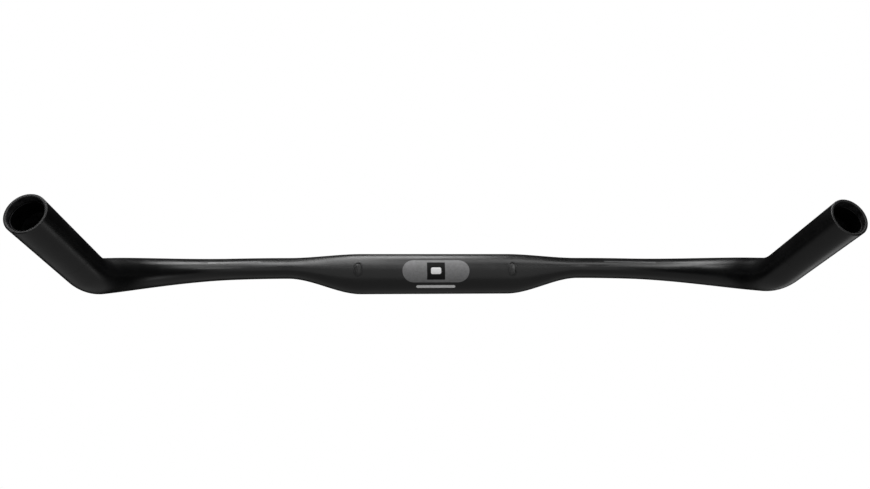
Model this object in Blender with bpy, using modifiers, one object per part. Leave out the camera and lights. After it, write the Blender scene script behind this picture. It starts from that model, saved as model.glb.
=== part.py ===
"""Aero bullhorn handlebar, hollow, with a round clamp zone, flattened wings and round open horns.

Metres, +Z up. The origin is the centre of the clamp zone. The horns point forwards, along -Y, so the
rider's left is +X. The left half is modelled and the right half is its mirror image in X.
The bar follows one centre line that leaves the origin along +X. Distances along it fix every piece.
"""
import math

import bmesh
import bpy
from mathutils import Matrix, Vector

# Centre line: straight clamp zone, shoulder, plan arc, short straight, rise bend, straight horn
CLAMP_HALF_LENGTH = 0.058
SHOULDER_END = 0.1145
PLAN_RADIUS = 0.097
FLARE = math.radians(6.0)
DIP = math.radians(1.3)
RISE = math.radians(30.0)
RISE_LEAD = 0.0113
RISE_RADIUS = 0.038
HORN_LENGTH = 0.0581
MOUTH_TILT = math.radians(8.0)
LINE_STEP = 0.001

# Sections, as outer half sizes
CLAMP_RADIUS = 0.0159
WING_HALF_HEIGHT = 0.0081
WING_HALF_CHORD = 0.018
WING_LIFT = 0.0047
WING_TAPER = 0.16
ROUNDING_START = 0.30
HORN_RADIUS = 0.0111

# Walls and joints
CENTRE_WALL = 0.0024
ARM_WALL = 0.0015
FERRULE_WALL = 0.0014
GAP = 0.00035
BUTT_GAP = 0.0003
ROOT_JOINT = 0.1120
ROOT_FERRULE_HALF = 0.016
HORN_JOINT_SETBACK = 0.044
HORN_FERRULE_HALF = 0.010
CLAMP_SLEEVE_HALF = 0.048
CLAMP_SLEEVE_WALL = 0.0020
MOUTH_RING_LENGTH = 0.009
MOUTH_RING_SETBACK = 0.0025
MOUTH_RING_WALL = 0.0009
EDGE = 0.0004

# Cable liner and port
LINER_RADIUS = 0.0025
LINER_WALL = 0.0006
LINER_LEAVES_LINE = 0.122
LINER_END = Vector((0.0640, -0.0062, 0.0019))
PORT_X = 0.0600
PORT_ANGLE = math.radians(17.0)
PORT_HOLE = (0.0070, 0.0120)
PORT_FRAME_OUTER = (0.0064, 0.0114)
PORT_FRAME_INNER = (0.0050, 0.0100)
PORT_PLUG = (0.0044, 0.0094)
PORT_FRAME_DEPTH = 0.0042
PORT_PLUG_DEPTH = 0.0062
PORT_RECESS = 0.0005

# Decals, as lengths along the bar and widths around it
DECAL_LIFT = 0.00035
DECAL_THICKNESS = 0.00025
BADGE_SIZE = (0.0520, 0.0184)
BADGE_WINDOW = (0.0140, 0.0140)
BADGE_TILE = (0.0132, 0.0132)
BADGE_SLOT = (0.0084, 0.0056)
BADGE_BAR = (0.0076, 0.0048)
BADGE_ANGLE = math.radians(11.0)
UNDERLINE_SIZE = (0.0330, 0.0026)
UNDERLINE_ANGLE = math.radians(-36.0)
STRIPE_START = 0.136
STRIPE_LENGTH = 0.045
STRIPE_WIDTH = 0.0016

# Mesh density
SIDES = 24
LINER_SIDES = 10

ARC_LENGTH = PLAN_RADIUS * (math.pi / 2 - FLARE)
ARC_END = SHOULDER_END + ARC_LENGTH
RISE_START = ARC_END + RISE_LEAD
RISE_END = RISE_START + RISE_RADIUS * RISE
MOUTH = RISE_END + HORN_LENGTH
HORN_JOINT = MOUTH - HORN_JOINT_SETBACK
HORN_BORE_RADIUS = HORN_RADIUS - ARM_WALL

PALETTE = {
    "satin_black": ((0.016, 0.016, 0.017, 1.0), 0.38, 0.0),
    "raw_carbon": ((0.022, 0.022, 0.024, 1.0), 0.55, 0.0),
    "alloy": ((0.05, 0.05, 0.052, 1.0), 0.4, 1.0),
    "liner_plastic": ((0.04, 0.04, 0.045, 1.0), 0.5, 0.0),
    "port_plastic": ((0.022, 0.022, 0.023, 1.0), 0.45, 0.0),
    "rubber": ((0.012, 0.012, 0.012, 1.0), 0.7, 0.0),
    "foil_grey": ((0.16, 0.16, 0.165, 1.0), 0.45, 0.0),
    "foil_black": ((0.01, 0.01, 0.01, 1.0), 0.4, 0.0),
    "foil_white": ((0.8, 0.8, 0.8, 1.0), 0.45, 0.0),
    "foil_dark": ((0.035, 0.035, 0.036, 1.0), 0.4, 0.0),
}


def clear_scene():
    for obj in list(bpy.data.objects):
        bpy.data.objects.remove(obj, do_unlink=True)


def make_collection(name):
    collection = bpy.data.collections.new(name)
    bpy.context.scene.collection.children.link(collection)
    return collection


clear_scene()
PARTS = make_collection("bullhorn_handlebar")
CUTTERS = make_collection("cutters")


def make_material(name, slot):
    """A Principled BSDF material of one sub-part."""
    color, roughness, metallic = PALETTE[slot]
    material = bpy.data.materials.new(name)
    material.use_nodes = True
    shader = material.node_tree.nodes["Principled BSDF"]
    shader.inputs["Base Color"].default_value = color
    shader.inputs["Roughness"].default_value = roughness
    shader.inputs["Metallic"].default_value = metallic
    return material


def add_part(name, mesh, slot, crease=40.0):
    """Puts a mesh in the scene as a named sub-part with its own material."""
    obj = bpy.data.objects.new(name, mesh)
    PARTS.objects.link(obj)
    mesh.materials.append(make_material(name, slot))
    mesh.shade_smooth()
    mesh.set_sharp_from_angle(angle=math.radians(crease))
    return obj


def add_cutter(name, mesh):
    obj = bpy.data.objects.new(name, mesh)
    CUTTERS.objects.link(obj)
    obj.hide_render = True
    obj.display_type = "WIRE"
    return obj


def boolean(obj, cutter, operation):
    modifier = obj.modifiers.new(operation.lower(), "BOOLEAN")
    modifier.operation = operation
    modifier.object = cutter
    modifier.solver = "EXACT"


def mesh_from(bm, name):
    """Closes a bmesh into mesh data, with its faces turned outwards."""
    bmesh.ops.recalc_face_normals(bm, faces=bm.faces)
    mesh = bpy.data.meshes.new(name)
    bm.to_mesh(mesh)
    bm.free()
    return mesh


def mirrored(mesh, name):
    """A copy of a mesh, mirrored in X."""
    bm = bmesh.new()
    bm.from_mesh(mesh)
    bm.transform(Matrix.Scale(-1.0, 4, Vector((1.0, 0.0, 0.0))))
    return mesh_from(bm, name)


def add_pair(name, mesh, slot, crease=40.0):
    """The rider's left piece and its mirror image on the right."""
    left = add_part("left_" + name, mesh, slot, crease)
    right = add_part("right_" + name, mirrored(mesh, "right_" + name), slot, crease)
    return left, right


def clamp01(value):
    return min(1.0, max(0.0, value))


def ease(value):
    """Smooth step from 0 to 1."""
    value = clamp01(value)
    return value * value * (3.0 - 2.0 * value)


def direction(distance):
    """Unit tangent of the centre line."""
    heading = (math.pi / 2 - FLARE) * clamp01((distance - SHOULDER_END) / ARC_LENGTH)
    dip = DIP * math.sin(math.pi * clamp01((distance - SHOULDER_END) / (RISE_START - SHOULDER_END)))
    climb = RISE * clamp01((distance - RISE_START) / (RISE_END - RISE_START))
    pitch = climb - dip
    level = math.cos(pitch)
    return Vector((math.cos(heading) * level, -math.sin(heading) * level, math.sin(pitch)))


def shoulder(distance):
    """0 in the clamp zone, 1 in the wing."""
    return ease((distance - CLAMP_HALF_LENGTH) / (SHOULDER_END - CLAMP_HALF_LENGTH))


def centre_line(distance):
    """Point at a distance along the left half of the bar; negative distances lie in the right half."""
    if distance < SHOULDER_END:
        return Vector((distance, 0.0, WING_LIFT * shoulder(abs(distance))))
    point = Vector((SHOULDER_END, 0.0, WING_LIFT))
    steps = math.ceil((distance - SHOULDER_END) / LINE_STEP)
    for index in range(steps):
        length = (distance - SHOULDER_END) / steps
        point += direction(SHOULDER_END + (index + 0.5) * length) * length
    return point


def half_sizes(distance):
    """Outer half height, half chord and taper of the section."""
    winged = shoulder(abs(distance))
    start = SHOULDER_END + ROUNDING_START * ARC_LENGTH
    rounded = ease((distance - start) / (ARC_END - start))
    height = CLAMP_RADIUS + (WING_HALF_HEIGHT - CLAMP_RADIUS) * winged
    height += (HORN_RADIUS - WING_HALF_HEIGHT) * rounded
    chord = CLAMP_RADIUS + (WING_HALF_CHORD - CLAMP_RADIUS) * winged
    chord += (HORN_RADIUS - WING_HALF_CHORD) * rounded
    return height, chord, WING_TAPER * winged * (1.0 - rounded)


def section(distance, inset=0.0, sides=SIDES):
    """Ring of points round the bar. Its first point is the leading edge, and the trailing edge is fine."""
    height, chord, taper = half_sizes(distance)
    centre = centre_line(distance)
    tangent = direction(abs(distance))
    front = tangent.cross(Vector((0.0, 0.0, 1.0))).normalized()
    up = front.cross(tangent)
    ring = []
    for index in range(sides):
        angle = 2.0 * math.pi * index / sides
        across = (chord - inset) * math.cos(angle)
        rise = (height - inset) * math.sin(angle) * (1.0 + taper * (math.cos(angle) - 0.5 * taper))
        ring.append(centre + front * across + up * rise)
    return ring


def spaced(start, end, spacing):
    """Evenly spaced distances from start to end."""
    count = max(1, round((end - start) / spacing))
    return [start + (end - start) * index / count for index in range(count + 1)]


def add_rings(bm, rings):
    """Skins a row of rings and returns their vertices."""
    rows = [[bm.verts.new(point) for point in ring] for ring in rings]
    for lower, upper in zip(rows, rows[1:]):
        join_rows(bm, lower, upper)
    return rows


def join_rows(bm, lower, upper):
    count = len(lower)
    for index in range(count):
        following = (index + 1) % count
        bm.faces.new((lower[index], lower[following], upper[following], upper[index]))


def hollow_loft(name, outer, inner):
    """A tube between two stacks of rings, closed by an annulus at each end."""
    bm = bmesh.new()
    outside = add_rings(bm, outer)
    inside = add_rings(bm, inner)
    join_rows(bm, outside[0], inside[0])
    join_rows(bm, outside[-1], inside[-1])
    return mesh_from(bm, name)


def solid_loft(name, rings):
    """A bar through a stack of rings, capped at each end."""
    bm = bmesh.new()
    rows = add_rings(bm, rings)
    bm.faces.new(rows[0])
    bm.faces.new(rows[-1])
    return mesh_from(bm, name)


def shell(name, stations, inset, wall):
    """A hollow length of the bar, its skin lying inset below the bar's surface."""
    outer = [section(distance, inset) for distance in stations]
    inner = [section(distance, inset + wall) for distance in stations]
    return hollow_loft(name, outer, inner)


def turned(name, radii, span, slot, distance=None):
    """A turned ring of rectangular section with chamfered ends, by the Screw modifier.

    It runs over span, measured along the bar from distance, and is turned to the bar's direction there.
    Without a distance it lies along X at the origin.
    """
    outer, inner = radii
    start, end = span
    edge = min(EDGE, 0.4 * (outer - inner))
    profile = [
        (outer - edge, end), (outer, end - edge), (outer, start + edge), (outer - edge, start),
        (inner + edge, start), (inner, start + edge), (inner, end - edge), (inner + edge, end),
    ]
    mesh = bpy.data.meshes.new(name)
    bm = bmesh.new()
    corners = [bm.verts.new((radius, 0.0, height)) for radius, height in profile]
    for index, corner in enumerate(corners):
        bm.edges.new((corner, corners[(index + 1) % len(corners)]))
    bm.to_mesh(mesh)
    bm.free()
    obj = add_part(name, mesh, slot)
    obj.matrix_world = bar_frame(distance)
    spin = obj.modifiers.new("turned", "SCREW")
    spin.axis = "Z"
    spin.steps = SIDES
    spin.render_steps = SIDES
    spin.use_merge_vertices = True
    spin.merge_threshold = 0.00001
    spin.use_smooth_shade = True
    return obj


def bar_frame(distance):
    """Placement with local Z along the bar and local X to its leading edge."""
    if distance is None:
        place = Vector((0.0, 0.0, 0.0))
        tangent = Vector((1.0, 0.0, 0.0))
    else:
        place = centre_line(distance)
        tangent = direction(distance)
    front = tangent.cross(Vector((0.0, 0.0, 1.0))).normalized()
    side = tangent.cross(front)
    rotation = Matrix((front, side, tangent)).transposed().to_4x4()
    return Matrix.Translation(place) @ rotation


def mirror_frame(matrix):
    """The placement of a turned piece's mirror image; the piece itself is symmetric."""
    flip = Matrix.Scale(-1.0, 4, Vector((1.0, 0.0, 0.0)))
    unflip = Matrix.Scale(-1.0, 4, Vector((0.0, 1.0, 0.0)))
    return flip @ matrix @ unflip


def turned_pair(name, radii, span, slot, distance):
    left = turned("left_" + name, radii, span, slot, distance)
    right = turned("right_" + name, radii, span, slot, distance)
    right.matrix_world = mirror_frame(left.matrix_world)
    return left, right


def build_centre_section():
    """The round clamp zone and both shoulders, one tube with a port hole through each shoulder's front."""
    end = ROOT_JOINT - BUTT_GAP / 2
    shoulders = spaced(CLAMP_HALF_LENGTH, end, 0.0085)
    stations = [-distance for distance in reversed(shoulders)] + shoulders
    mesh = shell("centre_section", stations, 0.0, CENTRE_WALL)
    obj = add_part("centre_section", mesh, "satin_black")
    for side in (1, -1):
        cutter = port_prism("port_hole_cutter", PORT_HOLE, side * PORT_X, 0.012)
        boolean(obj, add_cutter("port_hole_cutter", cutter), "DIFFERENCE")


def build_clamp_sleeve():
    outer = CLAMP_RADIUS - CENTRE_WALL - GAP
    radii = (outer, outer - CLAMP_SLEEVE_WALL)
    turned("clamp_sleeve", radii, (-CLAMP_SLEEVE_HALF, CLAMP_SLEEVE_HALF), "raw_carbon")


def build_wing_arms():
    """Wing and elbow: a shell from the wing root, round the arc and the rise bend, to the horn joint."""
    start = ROOT_JOINT + BUTT_GAP / 2
    end = HORN_JOINT - BUTT_GAP / 2
    stations = spaced(start, RISE_START, 0.0110)
    stations += spaced(RISE_START, RISE_END, 0.0066)[1:]
    stations.append(end)
    add_pair("wing_arm", shell("left_wing_arm", stations, 0.0, ARM_WALL), "satin_black")


def build_root_ferrules():
    """Sleeves of the wing's own section, half in the centre section and half in the arm."""
    stations = spaced(ROOT_JOINT - ROOT_FERRULE_HALF, ROOT_JOINT + ROOT_FERRULE_HALF, 0.0053)
    mesh = shell("left_root_ferrule", stations, CENTRE_WALL + GAP, FERRULE_WALL)
    add_pair("root_ferrule", mesh, "raw_carbon")


def mouth_rim(radius, setback):
    """Ring of points in the plane of the horn's mouth, which leans over the bore, or set back behind it."""
    centre = centre_line(MOUTH)
    tangent = direction(MOUTH)
    front = tangent.cross(Vector((0.0, 0.0, 1.0))).normalized()
    up = front.cross(tangent)
    ring = []
    for index in range(SIDES):
        angle = 2.0 * math.pi * index / SIDES
        rise = radius * math.sin(angle)
        along = rise * math.tan(MOUTH_TILT) - setback
        ring.append(centre + front * radius * math.cos(angle) + up * rise + tangent * along)
    return ring


def build_horns():
    """Horn tube with an oblique mouth, the ferrule in its root and the bore ring set back in its mouth."""
    start = HORN_JOINT + BUTT_GAP / 2
    outer = [section(start), mouth_rim(HORN_RADIUS, EDGE), mouth_rim(HORN_RADIUS - EDGE, 0.0)]
    inner = [section(start, ARM_WALL), mouth_rim(HORN_BORE_RADIUS, EDGE)]
    inner.append(mouth_rim(HORN_BORE_RADIUS + EDGE, 0.0))
    add_pair("horn_tube", hollow_loft("left_horn_tube", outer, inner), "satin_black")
    fitted = HORN_BORE_RADIUS - GAP
    root = HORN_JOINT - MOUTH
    span = (root - HORN_FERRULE_HALF, root + HORN_FERRULE_HALF)
    turned_pair("horn_ferrule", (fitted, fitted - FERRULE_WALL), span, "raw_carbon", MOUTH)
    span = (-MOUTH_RING_LENGTH - MOUTH_RING_SETBACK, -MOUTH_RING_SETBACK)
    turned_pair("mouth_ring", (fitted, fitted - MOUTH_RING_WALL), span, "alloy", MOUTH)


def liner_route():
    """Centre points of the liner: along the bar from the horn's root, then forward to the port."""
    bend_start = centre_line(LINER_LEAVES_LINE)
    corner = Vector((LINER_END.x + 0.028, 0.0, 0.0005))
    points = []
    for step in range(7):
        t = step / 6
        points.append(LINER_END * (1 - t) ** 2 + corner * 2 * t * (1 - t) + bend_start * t * t)
    liner_end = HORN_JOINT - HORN_FERRULE_HALF - 0.002
    points += [centre_line(distance) for distance in spaced(LINER_LEAVES_LINE, liner_end, 0.0105)[1:]]
    return points


def pipe_rings(points, radius):
    """Rings square to a route of points."""
    rings = []
    for index, point in enumerate(points):
        before = points[max(index - 1, 0)]
        after = points[min(index + 1, len(points) - 1)]
        tangent = (after - before).normalized()
        front = tangent.cross(Vector((0.0, 0.0, 1.0))).normalized()
        up = front.cross(tangent)
        angles = [2.0 * math.pi * corner / LINER_SIDES for corner in range(LINER_SIDES)]
        rings.append([point + radius * (front * math.cos(a) + up * math.sin(a)) for a in angles])
    return rings


def build_cable_liners():
    route = liner_route()
    outer = pipe_rings(route, LINER_RADIUS)
    inner = pipe_rings(route, LINER_RADIUS - LINER_WALL)
    add_pair("cable_liner", hollow_loft("left_cable_liner", outer, inner), "liner_plastic")


def port_prism(name, size, x, depth):
    """An oval bar through the upper front of the bar at x, reaching depth below its surface."""
    width, height = size
    bm = bmesh.new()
    bmesh.ops.create_circle(bm, cap_ends=True, segments=16, radius=width / 2)
    bmesh.ops.rotate(bm, verts=bm.verts, matrix=Matrix.Rotation(math.pi / 2, 3, "X"))
    bmesh.ops.rotate(bm, verts=bm.verts, matrix=Matrix.Rotation(math.pi / 16, 3, "Y"))
    for vertex in bm.verts:
        vertex.co.z += math.copysign((height - width) / 2, vertex.co.z)
    extruded = bmesh.ops.extrude_face_region(bm, geom=bm.faces[:])
    moved = [item for item in extruded["geom"] if isinstance(item, bmesh.types.BMVert)]
    bmesh.ops.translate(bm, verts=moved, vec=(0.0, -(depth + 0.004), 0.0))
    bmesh.ops.translate(bm, verts=bm.verts, vec=(x, depth - CLAMP_RADIUS, 0.0))
    bmesh.ops.rotate(bm, verts=bm.verts, matrix=Matrix.Rotation(-PORT_ANGLE, 3, "X"))
    return mesh_from(bm, name)


def front_skin(name, inset):
    """A solid length of the bar around the left port, inset below the surface, for trimming port pieces."""
    stations = spaced(CLAMP_HALF_LENGTH - 0.006, CLAMP_HALF_LENGTH + 0.016, 0.0055)
    return solid_loft(name, [section(distance, inset) for distance in stations])


def applied(obj, name):
    """The evaluated mesh of an object, which is then removed."""
    bpy.context.view_layer.update()
    graph = bpy.context.evaluated_depsgraph_get()
    mesh = bpy.data.meshes.new_from_object(obj.evaluated_get(graph))
    mesh.name = name
    mesh.materials.clear()
    bpy.data.objects.remove(obj, do_unlink=True)
    return mesh


def trimmed_prism(name, size, depth, inset, bore=None):
    """A port piece whose front follows the bar's surface, inset below it."""
    obj = add_cutter(name + "_blank", port_prism(name, size, PORT_X, depth))
    boolean(obj, add_cutter(name + "_trim", front_skin(name + "_trim", inset)), "INTERSECT")
    if bore:
        cutter = port_prism(name + "_bore", bore, PORT_X, 0.014)
        boolean(obj, add_cutter(name + "_bore", cutter), "DIFFERENCE")
    return applied(obj, name)


def build_ports():
    """The frame bonded into each port hole and the rubber plug that fills it."""
    frame = trimmed_prism("port_frame", PORT_FRAME_OUTER, PORT_FRAME_DEPTH, 0.0, PORT_FRAME_INNER)
    add_pair("port_frame", frame, "port_plastic", 30.0)
    plug = trimmed_prism("port_plug", PORT_PLUG, PORT_PLUG_DEPTH, PORT_RECESS)
    plugs = add_pair("port_plug", plug, "rubber", 30.0)
    for obj, side in zip(plugs, (1, -1)):
        face = -CLAMP_RADIUS * math.cos(PORT_ANGLE), CLAMP_RADIUS * math.sin(PORT_ANGLE)
        origin = Vector((side * PORT_X, *face))
        obj.data.transform(Matrix.Translation(-origin))
        obj.location = origin


def wrapped_plate(name, size, rows, columns, surface, window=None):
    """A thin foil: a flat grid with rounded ends, laid on a surface, thickened and cut with a window."""
    length, width = size
    bm = bmesh.new()
    bmesh.ops.create_grid(bm, x_segments=columns, y_segments=rows, size=0.5)
    for vertex in bm.verts:
        across = vertex.co.y * width
        end_radius = min(0.0026, width / 2)
        overshoot = max(0.0, abs(across) - (width / 2 - end_radius))
        trim = end_radius - math.sqrt(max(0.0, end_radius ** 2 - overshoot ** 2))
        vertex.co = (vertex.co.x * (length - 2 * trim), across, 0.0)
    if window:
        cut_window(bm, window)
    for vertex in bm.verts:
        vertex.co = surface(vertex.co.x, vertex.co.y, DECAL_LIFT + DECAL_THICKNESS)
    bmesh.ops.recalc_face_normals(bm, faces=bm.faces)
    bmesh.ops.solidify(bm, geom=bm.faces[:], thickness=DECAL_THICKNESS)
    return mesh_from(bm, name)


def cut_window(bm, window):
    """Cuts a rectangle out of a flat sheet."""
    length, width = window
    for axis, half in (((1, 0, 0), length / 2), ((0, 1, 0), width / 2)):
        for side in (1, -1):
            plane = Vector(axis) * side
            geometry = bm.verts[:] + bm.edges[:] + bm.faces[:]
            bmesh.ops.bisect_plane(bm, geom=geometry, plane_co=plane * half, plane_no=plane)
    inside = []
    for face in bm.faces:
        middle = face.calc_center_median()
        if abs(middle.x) < length / 2 and abs(middle.y) < width / 2:
            inside.append(face)
    bmesh.ops.delete(bm, geom=inside, context="FACES")


def clamp_surface(angle):
    """Maps a flat sheet round the clamp zone, centred at an angle above its front."""
    def place(along, across, lift):
        turn = angle + across / CLAMP_RADIUS
        radius = CLAMP_RADIUS + lift
        return Vector((along, -radius * math.cos(turn), radius * math.sin(turn)))
    return place


def build_badge():
    """The centre decal: a long panel with a square window, a tile in the window, a bar and an underline."""
    badge = clamp_surface(BADGE_ANGLE)
    panel = wrapped_plate("badge_panel", BADGE_SIZE, 8, 4, badge, BADGE_WINDOW)
    add_part("badge_panel", panel, "foil_grey")
    tile = wrapped_plate("badge_tile", BADGE_TILE, 6, 2, badge, BADGE_SLOT)
    add_part("badge_tile", tile, "foil_black")
    bar = wrapped_plate("badge_bar", BADGE_BAR, 2, 2, badge)
    add_part("badge_bar", bar, "foil_white")
    underline = wrapped_plate("badge_underline", UNDERLINE_SIZE, 1, 2, clamp_surface(UNDERLINE_ANGLE))
    add_part("badge_underline", underline, "foil_white")


def build_wing_stripes():
    """A fine stripe along each wing's upper front."""
    corner = SIDES // 8
    bm = bmesh.new()
    rows = []
    for distance in spaced(STRIPE_START, STRIPE_START + STRIPE_LENGTH, 0.009):
        low, high = stripe_edge(distance, corner, DECAL_LIFT)
        low_top, high_top = stripe_edge(distance, corner, DECAL_LIFT + DECAL_THICKNESS)
        rows.append([bm.verts.new(point) for point in (low, high, high_top, low_top)])
    for lower, upper in zip(rows, rows[1:]):
        join_rows(bm, lower, upper)
    bm.faces.new(rows[0])
    bm.faces.new(rows[-1])
    add_pair("wing_stripe", mesh_from(bm, "left_wing_stripe"), "foil_dark")


def stripe_edge(distance, corner, lift):
    """The stripe's lower and upper edge points on one flat of the section."""
    ring = section(distance, -lift)
    low, high = ring[corner - 1], ring[corner]
    side = (high - low).normalized()
    middle = (high + low) / 2
    return middle - side * STRIPE_WIDTH / 2, middle + side * STRIPE_WIDTH / 2


build_centre_section()
build_clamp_sleeve()
build_wing_arms()
build_root_ferrules()
build_horns()
build_cable_liners()
build_ports()
build_badge()
build_wing_stripes()
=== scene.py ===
# %% [markdown]
# # An aero bullhorn handlebar
#
# A time-trial bike is steered with a bar like this one. A stem grips its round middle, two flat wings
# cut the wind, and two round horns reach forward and up. It is hollow and bonded together from tubes.
# The whole bar follows one bent line, so this lesson writes that line as a function first. Each visible
# shell is then a stack of rings strung along it.

# %% Load the frame
import math

import bmesh
import bpy
from mathutils import Matrix, Vector


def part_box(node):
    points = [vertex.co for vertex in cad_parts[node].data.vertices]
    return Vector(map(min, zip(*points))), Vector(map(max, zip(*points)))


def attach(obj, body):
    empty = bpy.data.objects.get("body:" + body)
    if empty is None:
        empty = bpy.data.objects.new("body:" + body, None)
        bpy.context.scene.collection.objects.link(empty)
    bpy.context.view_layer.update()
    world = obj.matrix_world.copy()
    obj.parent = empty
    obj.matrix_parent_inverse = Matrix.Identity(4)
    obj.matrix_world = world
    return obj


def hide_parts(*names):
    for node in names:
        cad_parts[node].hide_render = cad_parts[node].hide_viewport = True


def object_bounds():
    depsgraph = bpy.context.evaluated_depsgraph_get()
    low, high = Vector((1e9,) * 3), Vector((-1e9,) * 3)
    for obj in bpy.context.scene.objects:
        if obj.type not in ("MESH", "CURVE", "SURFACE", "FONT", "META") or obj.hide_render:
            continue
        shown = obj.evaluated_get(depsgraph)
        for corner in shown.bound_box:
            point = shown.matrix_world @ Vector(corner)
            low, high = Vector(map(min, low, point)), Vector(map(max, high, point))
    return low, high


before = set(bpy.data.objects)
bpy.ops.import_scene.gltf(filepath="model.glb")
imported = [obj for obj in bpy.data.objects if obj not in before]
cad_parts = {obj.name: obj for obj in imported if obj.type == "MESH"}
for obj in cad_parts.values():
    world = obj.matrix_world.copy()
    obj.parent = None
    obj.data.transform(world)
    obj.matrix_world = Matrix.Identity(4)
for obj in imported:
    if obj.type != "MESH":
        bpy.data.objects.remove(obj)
cad_low, cad_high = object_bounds()
MM = 0.001
SIDES = {"left": 1, "right": -1}
print("frame box in mm:", [round(size / MM, 1) for size in cad_high - cad_low])

# %% [markdown]
# ## Camera
#
# A bar is half a metre wide, and here it is seen from half a metre in front. That close, a wide lens is
# needed, and the horns that reach towards the viewer spread outwards. A longer lens from further away
# would show the horns end on, and the bar would look like a straight tube.

# %% Camera
CAMERA_PLACE = Vector((-36.3, -493.5, 16.6)) * MM
CAMERA_PAN = -0.074
CAMERA_TILT = 0.014
CAMERA_LENS = 25.63

camera_data = bpy.data.cameras.new("camera")
camera_data.lens = CAMERA_LENS
camera_data.sensor_width = 36.0
camera_data.clip_start = 0.01
camera = bpy.data.objects.new("camera", camera_data)
camera.location = CAMERA_PLACE
camera.rotation_euler = (math.pi / 2 + CAMERA_TILT, 0.0, CAMERA_PAN)
bpy.context.scene.collection.objects.link(camera)
bpy.context.scene.camera = camera
print("field of view in degrees:", round(math.degrees(camera_data.angle), 1))

# %% [markdown]
# ## Studio
#
# Black lacquer has almost no colour of its own. It is seen by what it reflects, so the lights are the
# picture. Large soft boxes give broad, even highlights. The white surround is shown to the camera
# only: if the bar mirrored it too, every edge would turn pale.

# %% Floor and surround
FLOOR_DROP = 0.45
FLOOR_HALF_WIDTH = 6.0
SURROUND_RADIUS = 8.0


def stage_material(name):
    """An even white for what stands around the object. It glows, so no lamp shades it."""
    material = bpy.data.materials.new(name)
    material.use_nodes = True
    shader = material.node_tree.nodes["Principled BSDF"]
    shader.inputs["Base Color"].default_value = (0.0, 0.0, 0.0, 1.0)
    shader.inputs["Roughness"].default_value = 0.9
    shader.inputs["Specular IOR Level"].default_value = 0.0
    shader.inputs["Emission Color"].default_value = (1.0, 1.0, 1.0, 1.0)
    shader.inputs["Emission Strength"].default_value = 1.0
    return material


def stage_piece(bm, name, material):
    """Puts a stage mesh in the scene, seen by the camera but not mirrored in the object."""
    mesh = bpy.data.meshes.new(name)
    bm.to_mesh(mesh)
    bm.free()
    mesh.materials.append(material)
    piece = bpy.data.objects.new(name, mesh)
    bpy.context.scene.collection.objects.link(piece)
    piece.visible_glossy = False
    piece.visible_diffuse = False
    piece.visible_shadow = False
    print("stage piece:", name)


floor_mesh = bmesh.new()
bmesh.ops.create_grid(floor_mesh, x_segments=1, y_segments=1, size=FLOOR_HALF_WIDTH)
bmesh.ops.translate(floor_mesh, verts=floor_mesh.verts, vec=(0.0, 0.0, cad_low.z - FLOOR_DROP))
stage_piece(floor_mesh, "floor", stage_material("pale_floor"))
surround_mesh = bmesh.new()
bmesh.ops.create_uvsphere(surround_mesh, u_segments=32, v_segments=16, radius=SURROUND_RADIUS)
bmesh.ops.reverse_faces(surround_mesh, faces=surround_mesh.faces)
stage_piece(surround_mesh, "surround", stage_material("white_surround"))

# %% Lights
CEILING = 0.70
UNDERSIDE = -0.60
FRONT_WALL = -1.10
DOWN, UP, BACK = (0, 0, -1), (0, 0, 1), (0, 1, 0)


def soft_box(name, place, size, aim, power):
    """A rectangular area light; its size is in metres and its power in watts."""
    light = bpy.data.lights.new(name, "AREA")
    light.shape = "RECTANGLE"
    light.size, light.size_y = size
    light.energy = power
    lamp = bpy.data.objects.new(name, light)
    lamp.location = place
    lamp.rotation_euler = Vector(aim).to_track_quat("-Z", "Y").to_euler()
    lamp.visible_camera = False
    bpy.context.scene.collection.objects.link(lamp)


world = bpy.data.worlds.new("studio")
world.use_nodes = True
world.node_tree.nodes["Background"].inputs["Color"].default_value = (0.0, 0.0, 0.0, 1.0)
bpy.context.scene.world = world
bpy.context.scene.view_settings.view_transform = "Standard"
soft_box("ceiling_far_left", (-0.62, 0.25, CEILING), (0.30, 0.40), DOWN, 2.2)
soft_box("ceiling_near_left", (-0.80, -0.70, CEILING), (0.30, 0.30), DOWN, 1.2)
soft_box("ceiling_key", (-0.22, -0.02, CEILING), (0.30, 0.40), DOWN, 2.1)
soft_box("ceiling_front", (-0.20, -0.35, CEILING), (0.50, 0.30), DOWN, 1.3)
soft_box("ceiling_back", (0.00, 0.32, CEILING), (0.30, 0.30), DOWN, 1.7)
soft_box("ceiling_near", (0.00, -0.80, CEILING), (0.30, 0.40), DOWN, 0.80)
soft_box("ceiling_right", (0.36, -0.10, CEILING), (0.60, 0.30), DOWN, 1.4)
soft_box("ceiling_far_right", (0.60, -0.65, CEILING), (0.30, 0.50), DOWN, 3.6)
soft_box("underside_left", (-0.30, -0.30, UNDERSIDE), (1.80, 1.80), UP, 2.7)
soft_box("underside_front", (0.00, -0.60, UNDERSIDE), (2.40, 1.20), UP, 2.2)
soft_box("underside_right", (0.90, 0.30, UNDERSIDE), (0.60, 0.60), UP, 1.0)
soft_box("front_wall", (0.25, FRONT_WALL, 0.10), (1.70, 1.20), BACK, 3.8)
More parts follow.
